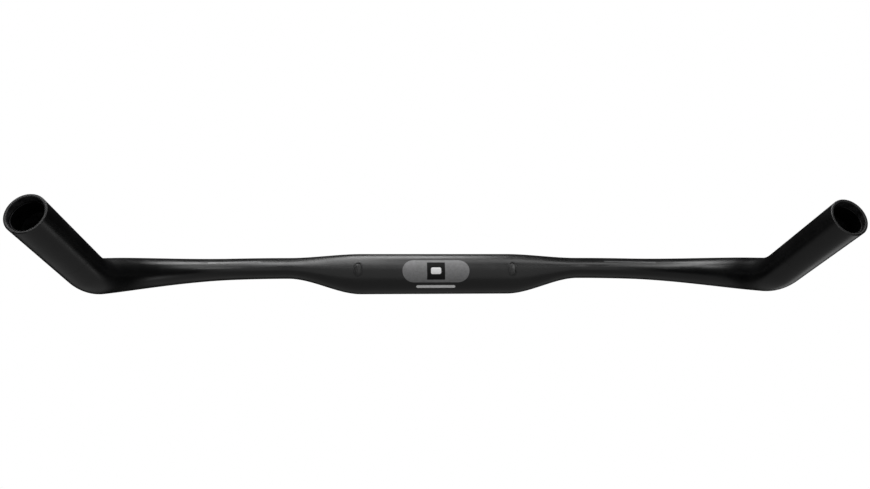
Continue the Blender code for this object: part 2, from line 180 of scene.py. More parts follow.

# %% [markdown]
# ## The line of the bar
#
# A moulded bar has no single outline that could be drawn flat. Its middle line runs straight through the
# clamp, turns forward round a large arc, and then tips upward in a short bend. Curves could hold it, but
# the section also changes from round to wing and back. A function of the distance along the line gives
# both at once, and the clamp's radius and the end of the centre section are read from the frame.

# %% Driving sizes
centre_low, centre_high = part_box("centre_section")
CLAMP_RADIUS = (centre_high.z - centre_low.z) / 2
ROOT_JOINT = centre_high.x
CLAMP_HALF_LENGTH = 58.0 * MM
SHOULDER_END = 114.5 * MM
PLAN_RADIUS = 97.0 * MM
FLARE = math.radians(6.0)  # how far the horns point outwards
DIP = math.radians(1.3)  # how steeply the wing sinks at most
RISE = math.radians(30.0)  # how steeply the horns climb
RISE_LEAD = 11.3 * MM
RISE_RADIUS = 38.0 * MM
HORN_LENGTH = 58.1 * MM
MOUTH_TILT = math.radians(8.0)
WING_HALF_HEIGHT = 8.1 * MM
WING_HALF_CHORD = 18.0 * MM
WING_LIFT = 4.7 * MM
WING_TAPER = 0.16  # share by which the leading half is thicker and the trailing half thinner
ROUNDING_START = 0.30  # share of the arc after which the wing grows round
HORN_RADIUS = 11.1 * MM
CENTRE_WALL = 2.4 * MM
ARM_WALL = 1.5 * MM
HORN_JOINT_SETBACK = 44.0 * MM
HORN_BORE = HORN_RADIUS - ARM_WALL
SEAM = 0.02 * MM  # the fine line left in the lacquer where two pieces meet
LINE_STEP = 1.0 * MM

ARC_LENGTH = PLAN_RADIUS * (math.pi / 2 - FLARE)
ARC_END = SHOULDER_END + ARC_LENGTH
RISE_START = ARC_END + RISE_LEAD
RISE_END = RISE_START + RISE_RADIUS * RISE
MOUTH = RISE_END + HORN_LENGTH
HORN_JOINT = MOUTH - HORN_JOINT_SETBACK
print("length of the bar's line in mm:", round(2 * MOUTH / MM, 1))

# %% Line and section


def clamp01(value):
    """Keeps a value between 0 and 1."""
    return min(1.0, max(0.0, value))


def ease(value):
    """Smooth step from 0 to 1."""
    value = clamp01(value)
    return value * value * (3.0 - 2.0 * value)


def direction(distance):
    """Unit tangent of the left half of the line."""
    heading = (math.pi / 2 - FLARE) * clamp01((distance - SHOULDER_END) / ARC_LENGTH)
    dip = DIP * math.sin(math.pi * clamp01((distance - SHOULDER_END) / (RISE_START - SHOULDER_END)))
    pitch = RISE * clamp01((distance - RISE_START) / (RISE_END - RISE_START)) - dip
    level = math.cos(pitch)
    return Vector((math.cos(heading) * level, -math.sin(heading) * level, math.sin(pitch)))


def shoulder(distance):
    """0 in the clamp zone, 1 in the wing."""
    return ease((distance - CLAMP_HALF_LENGTH) / (SHOULDER_END - CLAMP_HALF_LENGTH))


def centre_line(distance):
    """Point of the line. Within the straight middle a negative distance gives the right half."""
    if distance < SHOULDER_END:
        return Vector((distance, 0.0, WING_LIFT * shoulder(abs(distance))))
    point = Vector((SHOULDER_END, 0.0, WING_LIFT))
    steps = math.ceil((distance - SHOULDER_END) / LINE_STEP)
    length = (distance - SHOULDER_END) / max(steps, 1)
    for index in range(steps):
        point += direction(SHOULDER_END + (index + 0.5) * length) * length
    return point


def half_sizes(distance):
    """Outer half height, half chord and taper of the section."""
    winged = shoulder(abs(distance))
    start = SHOULDER_END + ROUNDING_START * ARC_LENGTH
    rounded = ease((distance - start) / (ARC_END - start))
    height = CLAMP_RADIUS + (WING_HALF_HEIGHT - CLAMP_RADIUS) * winged
    height += (HORN_RADIUS - WING_HALF_HEIGHT) * rounded
    chord = CLAMP_RADIUS + (WING_HALF_CHORD - CLAMP_RADIUS) * winged
    chord += (HORN_RADIUS - WING_HALF_CHORD) * rounded
    return height, chord, WING_TAPER * winged * (1.0 - rounded)


def bar_axes(distance):
    """Tangent, leading direction and up direction of the section."""
    tangent = direction(abs(distance))
    front = tangent.cross(Vector((0.0, 0.0, 1.0))).normalized()
    return tangent, front, front.cross(tangent)


def section_shape(distance, inset):
    """A function that puts an angle round the bar at its place in space."""
    height, chord, taper = half_sizes(distance)
    centre = centre_line(distance)
    front, up = bar_axes(distance)[1:]

    def place(angle):
        across = (chord - inset) * math.cos(angle)
        rise = (height - inset) * math.sin(angle) * (1.0 + taper * (math.cos(angle) - 0.5 * taper))
        return centre + front * across + up * rise

    return place


print("left mouth in mm:", [round(value / MM, 1) for value in centre_line(MOUTH)])

# %% [markdown]
# ## Shells from rings
#
# A tube whose section changes can't be spun and doesn't follow a curve's even bevel. It could be an
# extruded circle that is scaled step by step, but the steps show as bands. Here each ring starts as a
# circle, is shaped to its own section, and is bridged to the one before. A second, smaller skin inside
# and a bridge at each end give the tube its wall. Each point also keeps its distance along the bar and its
# angle, which later become the UV map of a weave.

# %% Ring and skin helpers
SKIN_SIDES = 96
UV_NAME = "surface"
TOW_WIDTH = 2.0 * MM
TOWS_AROUND = 36
CAP_SETBACK = 0.15 * MM
MERGE_DISTANCE = 0.001 * MM
SHARP_ANGLE = math.radians(35.0)


def add_ring(bm, shape, along, count=SKIN_SIDES):
    """One ring of points. The shape function says where each angle goes. Returns the ring's edges."""
    turns = bm.verts.layers.float.get("around") or bm.verts.layers.float.new("around")
    lengths = bm.verts.layers.float.get("along") or bm.verts.layers.float.new("along")
    ring = bmesh.ops.create_circle(bm, segments=count, radius=1.0)["verts"]
    for point in ring:
        angle = math.atan2(point.co.y, point.co.x)
        point.co = shape(angle)
        point[turns] = angle / (2.0 * math.pi)
        point[lengths] = along
    return list(dict.fromkeys(edge for point in ring for edge in point.link_edges))


def bridge(bm, first, second):
    """Joins two rings with a band of faces."""
    bmesh.ops.bridge_loops(bm, edges=first + second)


def add_skin(bm, stations, inset, count=SKIN_SIDES):
    """A band of faces through a row of sections. Returns the first and last ring."""
    rings = [add_ring(bm, section_shape(distance, inset), distance, count)
             for distance in stations]
    for first, second in zip(rings, rings[1:]):
        bridge(bm, first, second)
    return rings[0], rings[-1]


def spaced(start, end, spacing):
    """Evenly spaced values from start to end, no further apart than the spacing."""
    count = max(1, math.ceil((end - start) / spacing - 0.001))
    return [start + (end - start) * index / count for index in range(count + 1)]


def set_back(stations):
    """The stations of an inner skin, whose ends lie a little further in.

    Each end face is then a shallow cone. Two rings with the same centre can be bridged with a twist.
    """
    return [stations[0] + CAP_SETBACK] + stations[1:-1] + [stations[-1] - CAP_SETBACK]


def unwrap(bm):
    """Writes the kept distance and angle to the UV map. One unit is the width of one tow of fibre."""
    turns = bm.verts.layers.float.get("around")
    lengths = bm.verts.layers.float.get("along")
    layer = bm.loops.layers.uv.new(UV_NAME)
    for face in bm.faces:
        base = face.loops[0].vert[turns]
        for loop in face.loops:
            turn = loop.vert[turns]
            turn -= round(turn - base)
            loop[layer].uv = (loop.vert[lengths] / TOW_WIDTH, turn * TOWS_AROUND)


def finish_piece(bm, name, materials, body="bar"):
    """Turns a bmesh into a smooth piece that rides on a body."""
    bmesh.ops.remove_doubles(bm, verts=bm.verts, dist=MERGE_DISTANCE)
    bmesh.ops.recalc_face_normals(bm, faces=bm.faces)
    if bm.verts.layers.float.get("around"):
        unwrap(bm)
    mesh = bpy.data.meshes.new(name)
    bm.to_mesh(mesh)
    bm.free()
    for material in materials:
        mesh.materials.append(material)
    mesh.shade_smooth()
    mesh.set_sharp_from_angle(angle=SHARP_ANGLE)
    piece = bpy.data.objects.new(name, mesh)
    bpy.context.scene.collection.objects.link(piece)
    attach(piece, body)
    print(f"{name}: {len(mesh.polygons)} faces")
    return piece


def mirror_for(bm, side):
    """Turns left-hand geometry into the piece of either side."""
    if side < 0:
        bmesh.ops.scale(bm, vec=(-1.0, 1.0, 1.0), verts=bm.verts)


# %% [markdown]
# ## Satin black lacquer
#
# The bar is sprayed black and rubbed to a satin. Up close such a finish isn't even: it has the faint
# ripple of sprayed lacquer, a fine grain, and patches that hands have polished a little smoother. An image
# could hold that, but noise in object coordinates has no seams and stays the same size on every piece.

# %% Material helpers


def new_material(name):
    """A node material with a Principled shader. Returns the material, its tree and the shader."""
    material = bpy.data.materials.new(name)
    material.use_nodes = True
    tree = material.node_tree
    return material, tree, tree.nodes["Principled BSDF"]


def surface_uv(tree):
    """The piece's own UV map: X runs along the bar and Y round it."""
    node = tree.nodes.new("ShaderNodeUVMap")
    node.uv_map = UV_NAME
    return node.outputs["UV"]


def split_uv(tree):
    """The two coordinates of the piece's own UV map."""
    split = tree.nodes.new("ShaderNodeSeparateXYZ")
    tree.links.new(surface_uv(tree), split.inputs["Vector"])
    return split.outputs["X"], split.outputs["Y"]


def object_noise(tree, scale, detail=3.0, rough=0.5):
    """Noise in object coordinates; scale is in features per metre."""
    coordinates = tree.nodes.new("ShaderNodeTexCoord")
    noise = tree.nodes.new("ShaderNodeTexNoise")
    noise.inputs["Scale"].default_value = scale
    noise.inputs["Detail"].default_value = detail
    noise.inputs["Roughness"].default_value = rough
    tree.links.new(coordinates.outputs["Object"], noise.inputs["Vector"])
    return noise.outputs["Fac"]


def ranged(tree, value, low, high, start=0.35, end=0.65):
    """Spreads the middle of a noise over a range."""
    node = tree.nodes.new("ShaderNodeMapRange")
    node.inputs["From Min"].default_value = start
    node.inputs["From Max"].default_value = end
    node.inputs["To Min"].default_value = low
    node.inputs["To Max"].default_value = high
    tree.links.new(value, node.inputs["Value"])
    return node.outputs["Result"]


def two_tone(tree, factor, dark, light):
    """Mixes two colours by a factor. The first may be a colour or the socket of an earlier mix."""
    node = tree.nodes.new("ShaderNodeMix")
    node.data_type = "RGBA"
    # A Mix node has sockets for numbers, vectors and colours, so the colours' are found by place.
    mix_factor, first, second, result = node.inputs[0], node.inputs[6], node.inputs[7], node.outputs[2]
    if isinstance(dark, tuple):
        first.default_value = (*dark, 1.0)
    else:
        tree.links.new(dark, first)
    second.default_value = (*light, 1.0)
    tree.links.new(factor, mix_factor)
    return result


def math_node(tree, operation, first, second=None):
    """One Math node; each input is a socket or a number."""
    node = tree.nodes.new("ShaderNodeMath")
    node.operation = operation
    for index, value in enumerate((first, second)):
        if value is None:
            continue
        if isinstance(value, (int, float)):
            node.inputs[index].default_value = value
        else:
            tree.links.new(value, node.inputs[index])
    return node.outputs["Value"]


def bumps(tree, shader, layers):
    """Stacks bump nodes; each layer is a height, a strength and a depth in metres."""
    previous = None
    for height, strength, depth in layers:
        node = tree.nodes.new("ShaderNodeBump")
        node.inputs["Strength"].default_value = strength
        node.inputs["Distance"].default_value = depth
        tree.links.new(height, node.inputs["Height"])
        if previous:
            tree.links.new(previous, node.inputs["Normal"])
        previous = node.outputs["Normal"]
    tree.links.new(previous, shader.inputs["Normal"])


# %% Satin lacquer


def make_satin_lacquer(name, rubbed_rim=False):
    """Sprayed black with a satin sheen. A rubbed rim is a little grey towards the mouth."""
    material, tree, shader = new_material(name)
    patches = ranged(tree, object_noise(tree, 22.0, 4.0), 0.0, 1.0)
    color = two_tone(tree, patches, (0.0030, 0.0030, 0.0032), (0.0052, 0.0052, 0.0054))
    if rubbed_rim:
        near_mouth = ranged(tree, split_uv(tree)[0], 0.0, 1.0, start=-1.0, end=0.1)
        scuffs = ranged(tree, object_noise(tree, 800.0, 4.0), 0.0, 0.8)
        rubbed = math_node(tree, "MULTIPLY", near_mouth, scuffs)
        color = two_tone(tree, rubbed, color, (0.009, 0.009, 0.0095))
    tree.links.new(color, shader.inputs["Base Color"])
    handled = ranged(tree, object_noise(tree, 60.0, 5.0, 0.6), 0.28, 0.37)
    tree.links.new(handled, shader.inputs["Roughness"])
    ripple = object_noise(tree, 420.0, 2.0)
    grain = object_noise(tree, 5200.0, 2.0)
    bumps(tree, shader, [(ripple, 0.4, 0.03 * MM), (grain, 0.25, 0.006 * MM)])
    return material


satin_lacquer = make_satin_lacquer("satin_black_lacquer")
rim_lacquer = make_satin_lacquer("rubbed_rim_lacquer", rubbed_rim=True)
print("made", satin_lacquer.name, "and", rim_lacquer.name)

# %% [markdown]
# ## Bare carbon
#
# Inside the tubes the laminate is bare, and its twill shows: bundles of fibre that pass over two and
# under two, one step further in each row. Two stripes of a checkered UV grid give that pattern when
# the sum of row and column is taken modulo four. The bundles that run the other way reflect the light
# differently, so they are a shade lighter and their bump slopes the other way.

# %% Carbon twill


def make_carbon_twill():
    """A two by two twill on the piece's own UV map, one bundle of fibres to a unit."""
    material, tree, shader = new_material("bare_carbon_twill")
    length, turn = split_uv(tree)
    column = math_node(tree, "FLOOR", length)
    row = math_node(tree, "FLOOR", turn)
    step = math_node(tree, "FLOORED_MODULO", math_node(tree, "ADD", column, row), 4.0)
    over = math_node(tree, "LESS_THAN", step, 2.0)
    across = math_node(tree, "PINGPONG", turn, 0.5)
    along = math_node(tree, "PINGPONG", length, 0.5)
    crown = math_node(tree, "ADD", math_node(tree, "MULTIPLY", over, across),
                      math_node(tree, "MULTIPLY", math_node(tree, "SUBTRACT", 1.0, over), along))
    color = two_tone(tree, over, (0.006, 0.006, 0.0065), (0.016, 0.016, 0.017))
    tree.links.new(color, shader.inputs["Base Color"])
    dull = ranged(tree, object_noise(tree, 300.0), 0.42, 0.62)
    tree.links.new(dull, shader.inputs["Roughness"])
    resin = object_noise(tree, 1500.0)
    bumps(tree, shader, [(crown, 0.5, 0.12 * MM), (resin, 0.15, 0.02 * MM)])
    return material


carbon_twill = make_carbon_twill()
print("made", carbon_twill.name)

# %% [markdown]
# ## Small-part finishes
#
# The other materials are simpler, and one recipe with different numbers covers them: a base colour
# that varies between two tones, a roughness that varies, and a grain. Turned metal gets rings that
# follow its own UV map, rubber a coarse grain, and the foils a fine one. The brighter foils lie under a
# thin coat. The black one and the cut edge of the tubes hardly shine at all.

# %% Grained plastics, rubber and foils


def make_grained(name, dark, light, roughness, grain_scale, grain_depth, coat=0.0, specular=0.5):
    """A mottled, grained finish. The scale is in grains per metre and the depth in metres."""
    material, tree, shader = new_material(name)
    tone = ranged(tree, object_noise(tree, grain_scale / 6.0, 4.0), 0.0, 1.0)
    tree.links.new(two_tone(tree, tone, dark, light), shader.inputs["Base Color"])
    worn = ranged(tree, object_noise(tree, grain_scale / 10.0), roughness - 0.05, roughness + 0.07)
    tree.links.new(worn, shader.inputs["Roughness"])
    shader.inputs["Specular IOR Level"].default_value = specular
    shader.inputs["Coat Weight"].default_value = coat
    shader.inputs["Coat Roughness"].default_value = 0.3
    grain = object_noise(tree, grain_scale, 3.0)
    bumps(tree, shader, [(grain, 0.3, grain_depth)])
    return material


moulded_rubber = make_grained(
    "moulded_rubber", (0.006, 0.006, 0.006), (0.012, 0.012, 0.012), 0.38, 2600.0, 0.01 * MM)
port_plastic = make_grained(
    "port_plastic", (0.004, 0.004, 0.0042), (0.008, 0.008, 0.0084), 0.36, 3600.0, 0.008 * MM)
liner_plastic = make_grained(
    "liner_plastic", (0.030, 0.030, 0.034), (0.048, 0.048, 0.052), 0.48, 1800.0, 0.02 * MM)
rough_carbon = make_grained(
    "rough_carbon", (0.012, 0.012, 0.013), (0.030, 0.030, 0.032), 0.55, 900.0, 0.05 * MM)
grey_foil = make_grained(
    "grey_foil", (0.150, 0.150, 0.152), (0.185, 0.185, 0.188), 0.45, 3000.0, 0.004 * MM, 0.3)
black_foil = make_grained(
    "black_foil", (0.003, 0.003, 0.003), (0.005, 0.005, 0.005), 0.50, 3000.0, 0.004 * MM,
    specular=0.15)
white_foil = make_grained(
    "white_foil", (0.84, 0.84, 0.84), (0.90, 0.90, 0.90), 0.45, 3000.0, 0.004 * MM, 0.3)
cut_edge = make_grained(
    "cut_edge_resin", (0.002, 0.002, 0.002), (0.005, 0.005, 0.005), 0.70, 1500.0, 0.03 * MM,
    specular=0.15)
dark_foil = make_grained(
    "dark_foil", (0.050, 0.050, 0.051), (0.068, 0.068, 0.069), 0.34, 3000.0, 0.004 * MM, 0.3)
print("made the plastics, the rubber, the foils and the cut edge")

# %% Black anodised alloy


def make_turned_alloy():
    """Dark metal with the fine rings of a lathe tool."""
    material, tree, shader = new_material("black_anodised_alloy")
    rings = tree.nodes.new("ShaderNodeTexWave")
    rings.bands_direction = "X"
    rings.inputs["Scale"].default_value = 2.5
    rings.inputs["Distortion"].default_value = 0.4
    tree.links.new(surface_uv(tree), rings.inputs["Vector"])
    stain = ranged(tree, object_noise(tree, 300.0), 0.0, 1.0)
    tree.links.new(two_tone(tree, stain, (0.005, 0.005, 0.0055), (0.012, 0.012, 0.013)),
                   shader.inputs["Base Color"])
    shader.inputs["Metallic"].default_value = 0.85
    tree.links.new(ranged(tree, object_noise(tree, 700.0), 0.30, 0.44), shader.inputs["Roughness"])
    bumps(tree, shader, [(rings.outputs["Fac"], 0.4, 0.01 * MM)])
    return material


anodised_alloy = make_turned_alloy()
print("made", anodised_alloy.name)

# %% [markdown]
# ## Centre tube
#
# The middle of the bar is one moulding: a straight round zone for the stem, and a shoulder on each side
# where it flattens to the wing. An oval cable port goes through the front of each shoulder. A Boolean
# would cut the ports, but it leaves slivers that show in a satin surface. Instead the few faces inside
# the oval are deleted, and the points left round the hole slide onto the oval. The hole's edge is
# extruded a little inwards, which makes a chamfer, and is then bridged to the hole of the inner skin.

# %% Port sizes
frame_low, frame_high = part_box("left_port_frame")
PORT_X = (frame_low.x + frame_high.x) / 2
PORT_ANGLE = math.radians(17.0)
PORT_TURN = Matrix.Rotation(-PORT_ANGLE, 3, "X")
FRAME_SIZE = (frame_high.x - frame_low.x, 11.4 * MM)
FRAME_RIM = 0.7 * MM
PLUG_GAP = 0.06 * MM
PORT_MARGIN = 0.04 * MM
PORT_CHAMFER = 0.12 * MM
HOLE_SIZE = (FRAME_SIZE[0] + 2 * PORT_MARGIN, FRAME_SIZE[1] + 2 * PORT_MARGIN)
PORT_MOUTH_SIZE = (HOLE_SIZE[0] + 2 * PORT_CHAMFER, HOLE_SIZE[1] + 2 * PORT_CHAMFER)
CENTRE_SIDES = 128
CLAMP_SPACING = 2.6 * MM
PORT_SPACING = 0.55 * MM
SHOULDER_SPACING = 1.8 * MM
PORT_CLEARANCE = 1.0 * MM
print("port at mm:", round(PORT_X / MM, 2), "hole:", [round(size / MM, 1) for size in HOLE_SIZE])

# %% Oval helpers


def nearest_on_oval(x, z, size):
    """Slides a point to the upright oval of that width and height about the origin."""
    radius = size[0] / 2
    straight = size[1] / 2 - radius
    core = min(straight, max(-straight, z))
    away = Vector((x, z - core)).normalized()
    return away.x * radius, core + away.y * radius


def in_oval(x, z, size):
    """Whether a point lies inside that oval."""
    radius = size[0] / 2
    straight = size[1] / 2 - radius
    core = min(straight, max(-straight, z))
    return math.hypot(x, z - core) < radius


def front_depth(x, across, inset):
    """The bar's surface near the ports, as a Y coordinate in the port's own turned frame."""
    height, chord, _ = half_sizes(abs(x))
    height, chord = height - inset, chord - inset
    rise = across * math.cos(PORT_ANGLE) - centre_line(abs(x)).z
    front = across * math.sin(PORT_ANGLE)
    square = (math.cos(PORT_ANGLE) / chord) ** 2 + (math.sin(PORT_ANGLE) / height) ** 2
    linear = math.sin(PORT_ANGLE) * rise / height ** 2 - math.cos(PORT_ANGLE) * front / chord ** 2
    rest = (front / chord) ** 2 + (rise / height) ** 2 - 1.0
    return (linear - math.sqrt(linear ** 2 - square * rest)) / square


# %% Centre tube with its ports


def lay_on_oval(points, port_x, size, inset, depth=0.0):
    """Slides points of a skin onto the port's oval, at its surface or a little below it."""
    for point in points:
        flat = PORT_TURN.inverted() @ point.co
        x, z = nearest_on_oval(flat.x - port_x, flat.z, size)
        point.co = PORT_TURN @ Vector((port_x + x, front_depth(port_x + x, z, inset) + depth, z))


def open_port(bm, skin_faces, port_x, size, inset):
    """Deletes a skin's faces inside the oval and lays the hole's points on it. Returns its edges."""
    inside = {}
    for face in skin_faces:
        if face.is_valid:
            middle = PORT_TURN.inverted() @ face.calc_center_median()
            if middle.y < 0.0 and in_oval(middle.x - port_x, middle.z, size):
                inside[face] = True
    edges = dict.fromkeys(edge for face in inside for edge in face.edges)
    rim = [edge for edge in edges if not all(face in inside for face in edge.link_faces)]
    lay_on_oval({point for edge in rim for point in edge.verts}, port_x, size, inset)
    bmesh.ops.delete(bm, geom=list(inside), context="FACES")
    return rim


def centre_stations():
    """Ring places from the right root to the left, close together round the ports."""
    reach = HOLE_SIZE[0] / 2 + PORT_CLEARANCE
    half = spaced(0.0, PORT_X - reach, CLAMP_SPACING)
    half += spaced(PORT_X - reach, PORT_X + reach, PORT_SPACING)[1:]
    half += spaced(PORT_X + reach, ROOT_JOINT, SHOULDER_SPACING)[1:]
    return [-distance for distance in reversed(half[1:])] + half


def make_centre_tube():
    """The clamp zone with both shoulders, lacquered outside and bare inside."""
    bm = bmesh.new()
    stations = centre_stations()
    outer_ends = add_skin(bm, stations, 0.0, CENTRE_SIDES)
    outer_faces = dict.fromkeys(bm.faces)
    inner_ends = add_skin(bm, set_back(stations), CENTRE_WALL, CENTRE_SIDES)
    inner_faces = [face for face in bm.faces if face not in outer_faces]
    for face in inner_faces:
        face.material_index = 1
    for side in SIDES.values():
        port_x = side * PORT_X
        outer_hole = open_port(bm, outer_faces, port_x, PORT_MOUTH_SIZE, 0.0)
        inner_hole = open_port(bm, inner_faces, port_x, HOLE_SIZE, CENTRE_WALL)
        lip = bmesh.ops.extrude_edge_only(bm, edges=outer_hole)["geom"]
        lip_points = [item for item in lip if isinstance(item, bmesh.types.BMVert)]
        lip_edges = [item for item in lip if isinstance(item, bmesh.types.BMEdge)]
        lay_on_oval(lip_points, port_x, HOLE_SIZE, 0.0, PORT_CHAMFER)
        bridge(bm, [edge for edge in lip_edges if edge.is_boundary], inner_hole)
    for outer_end, inner_end in zip(outer_ends, inner_ends):
        bridge(bm, outer_end, inner_end)
    return finish_piece(bm, "centre_tube", [satin_lacquer, carbon_twill])


centre_tube = make_centre_tube()
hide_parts("centre_section")

# %% [markdown]
# ## Wing arms
#
# Each arm is a wing at its root and a round tube at its end, moulded in one. Its rings follow the plan
# arc and then the upward bend, closer together where the line bends fast. The chord is widest at the
# root, so the rider's forearm gets a flat top and the air a thin edge.

# %% Wing arms
WING_SPACING = 2.4 * MM
BEND_SPACING = 1.0 * MM
HORN_SPACING = 3.0 * MM
BEND_MARGIN = 4.0 * MM


def arm_stations():
    """Ring places from the root to the horn, close together in the upward bend."""
    bend_start, bend_end = RISE_START - BEND_MARGIN, RISE_END + BEND_MARGIN
    stations = spaced(ROOT_JOINT + SEAM, bend_start, WING_SPACING)
    stations += spaced(bend_start, bend_end, BEND_SPACING)[1:]
    stations += spaced(bend_end, HORN_JOINT - SEAM, HORN_SPACING)[1:]
    return stations


def make_wing_arm(side_name):
    """One wing and its elbow, lacquered outside and bare inside."""
    bm = bmesh.new()
    outer_ends = add_skin(bm, arm_stations(), 0.0)
    outer_faces = set(bm.faces)
    inner_ends = add_skin(bm, set_back(arm_stations()), ARM_WALL)
    for face in bm.faces:
        face.material_index = 0 if face in outer_faces else 1
    for outer_end, inner_end in zip(outer_ends, inner_ends):
        bridge(bm, outer_end, inner_end)
    mirror_for(bm, SIDES[side_name])
    piece = finish_piece(bm, f"{side_name}_arm_shell", [satin_lacquer, carbon_twill])
    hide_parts(f"{side_name}_wing_arm")


for side_name in SIDES:
    make_wing_arm(side_name)

# %% [markdown]
# ## Horn tubes, rings and ferrules
#
# The horns are plain round tubes, so they are turned: half a cross section is spun once about the horn's
# axis. The mouth's outer edge is rounded by hand at the factory and catches the light, so it gets a
# real radius. Just inside sits a short alloy ring, which keeps a lever's expander from splitting the tube.

# %% Turned pieces
SPIN_STEPS = 96
ARC_STEPS = 4
HOLD = 0.25 * MM  # how far past a rounding the held corner lies
MOUTH_ZONE = 1.0 * MM  # the length of tube that leans with the mouth
BORE_MARGIN = 0.3 * MM
CUT_EDGE_FACING = 0.45  # how squarely the faces of the cut edge look along the axis


def rounded_tube(outer, inner, start, end, roundings):
    """Half cross section of a tube, as (radius, height) corners in order.

    The roundings are the radii at the outer and inner edge of the end, then at both edges of the start.
    A corner held close to each rounding keeps the long walls' shading straight.
    """
    outer_end, inner_end, root = roundings
    arcs = ((outer - outer_end, end - outer_end, 0.0, outer_end),
            (inner + inner_end, end - inner_end, 90.0, inner_end),
            (inner + root, start + root, 180.0, root),
            (outer - root, start + root, 270.0, root))
    corners = []
    for radius, height, first, edge in arcs:
        for step in range(ARC_STEPS + 1):
            angle = math.radians(first + 90.0 / ARC_STEPS * step)
            corners.append((radius + edge * math.cos(angle), height + edge * math.sin(angle)))
        if first == 90.0:
            corners += [(inner, end - inner_end - HOLD), (inner, start + root + HOLD)]
    return corners + [(outer, start + root + HOLD), (outer, end - outer_end - HOLD)]


def lean(bm, tilt):
    """Leans the plane of the mouth over the bore. The rest of the tube keeps its shape."""
    for point in bm.verts:
        if point.co.z > -MOUTH_ZONE:
            point.co.z -= point.co.y * math.tan(tilt)


def turn_on_horn(bm, corners, tilt=0.0):
    """Spins a closed cross section about the horn's axis and moves it to the left mouth."""
    turns = bm.verts.layers.float.new("around")
    lengths = bm.verts.layers.float.new("along")
    points = [bm.verts.new((radius, 0.0, height)) for radius, height in corners]
    edges = [bm.edges.new(pair) for pair in zip(points, points[1:] + points[:1])]
    bmesh.ops.spin(bm, geom=points + edges, cent=(0, 0, 0), axis=(0, 0, 1), angle=2 * math.pi,
                   steps=SPIN_STEPS, use_merge=True, use_duplicate=False)
    for point in bm.verts:
        point[turns] = math.atan2(point.co.y, point.co.x) / (2.0 * math.pi)
        point[lengths] = point.co.z
    lean(bm, tilt)
    tangent, front, _ = bar_axes(MOUTH)
    rotation = Matrix((front, tangent.cross(front), tangent)).transposed().to_4x4()
    bm.transform(Matrix.Translation(centre_line(MOUTH)) @ rotation)


def dress_horn(bm):
    """Gives the bore bare carbon and the flat of the mouth its sealed cut edge."""
    bmesh.ops.recalc_face_normals(bm, faces=bm.faces)
    mouth, axis = centre_line(MOUTH), direction(MOUTH)
    for face in bm.faces:
        reach = face.calc_center_median() - mouth
        radius = (reach - axis * reach.dot(axis)).length
        if face.normal.dot(axis) > CUT_EDGE_FACING:
            face.material_index = 2
        elif radius < HORN_BORE + BORE_MARGIN:
            face.material_index = 1


def finish_turned(bm, side_name, name, materials, node):
    """Finishes a turned piece of either side in place of its frame node."""
    mirror_for(bm, SIDES[side_name])
    piece = finish_piece(bm, f"{side_name}_{name}", materials)
    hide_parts(f"{side_name}_{node}")


# %% Horn, ring and ferrule of each side
RING_FIT = 0.05 * MM
RING_RADIUS = HORN_BORE - RING_FIT
RING_WALL = 0.9 * MM
RING_LENGTH = 9.0 * MM
RING_SETBACK = 2.5 * MM
FERRULE_WALL = 1.4 * MM
FERRULE_HALF = 10.0 * MM
HORN_ROUNDINGS = (0.35 * MM, 0.35 * MM, 0.04 * MM)
RING_ROUNDINGS = (0.2 * MM, 0.35 * MM, 0.2 * MM)
FERRULE_ROUNDINGS = (0.3 * MM, 0.3 * MM, 0.3 * MM)

horn_profile = rounded_tube(
    HORN_RADIUS, HORN_BORE, HORN_JOINT + SEAM - MOUTH, 0.0, HORN_ROUNDINGS)
ring_profile = rounded_tube(
    RING_RADIUS, RING_RADIUS - RING_WALL, -RING_LENGTH - RING_SETBACK, -RING_SETBACK,
    RING_ROUNDINGS)
ferrule_profile = rounded_tube(
    RING_RADIUS, RING_RADIUS - FERRULE_WALL, -HORN_JOINT_SETBACK - FERRULE_HALF,
    -HORN_JOINT_SETBACK + FERRULE_HALF, FERRULE_ROUNDINGS)
for side_name in SIDES:
    horn = bmesh.new()
    turn_on_horn(horn, horn_profile, MOUTH_TILT)
    dress_horn(horn)
    finish_turned(horn, side_name, "horn", [rim_lacquer, carbon_twill, cut_edge],
                  "horn_tube")
    ring = bmesh.new()
    turn_on_horn(ring, ring_profile)
    finish_turned(ring, side_name, "bore_ring", [anodised_alloy], "mouth_ring")
    sleeve = bmesh.new()
    turn_on_horn(sleeve, ferrule_profile)
    finish_turned(sleeve, side_name, "horn_sleeve", [carbon_twill], "horn_ferrule")

# %% [markdown]
# ## Cable ports
#
# A moulded frame lines each port and a rubber plug closes it while no cable runs there. The plug pulls
# straight out, so it rides on its own body. Both follow the bar's curved front, so each is a stack
# of oval rings, and every ring is laid at a depth below the surface. The ports point a little above
# straight ahead, so the stacks are made in the port's own frame and turned up at the end. The plug's face
# is dished for a fingernail, which is what makes it visible in a black surface.

# %% Oval stacks
OVAL_SIDES = 48
FRAME_DEPTH = 4.2 * MM
PLUG_RECESS = 0.5 * MM
PLUG_DEPTH = 6.2 * MM
DISH_DEPTH = 1.3 * MM
DISH_STEPS = (0.18, 0.28, 0.40, 0.52, 0.64, 0.76, 0.88, 0.95)
FRAME_EDGE = 0.12 * MM
PLUG_EDGE = 0.25 * MM
EDGE_MIDDLE = 0.3  # how far the middle of a rounded edge lies from both faces, in its radii


def oval_shape(size, depth):
    """A function that lays an oval below the bar's front surface."""
    radius = size[0] / 2
    straight = size[1] / 2 - radius

    def place(angle):
        # Half a step round, so that no point falls where the two half circles part.
        angle += math.pi / OVAL_SIDES
        x = PORT_X + radius * math.cos(angle)
        z = radius * math.sin(angle) + math.copysign(straight, math.sin(angle))
        return Vector((x, front_depth(x, z, 0.0) + depth, z))

    return place


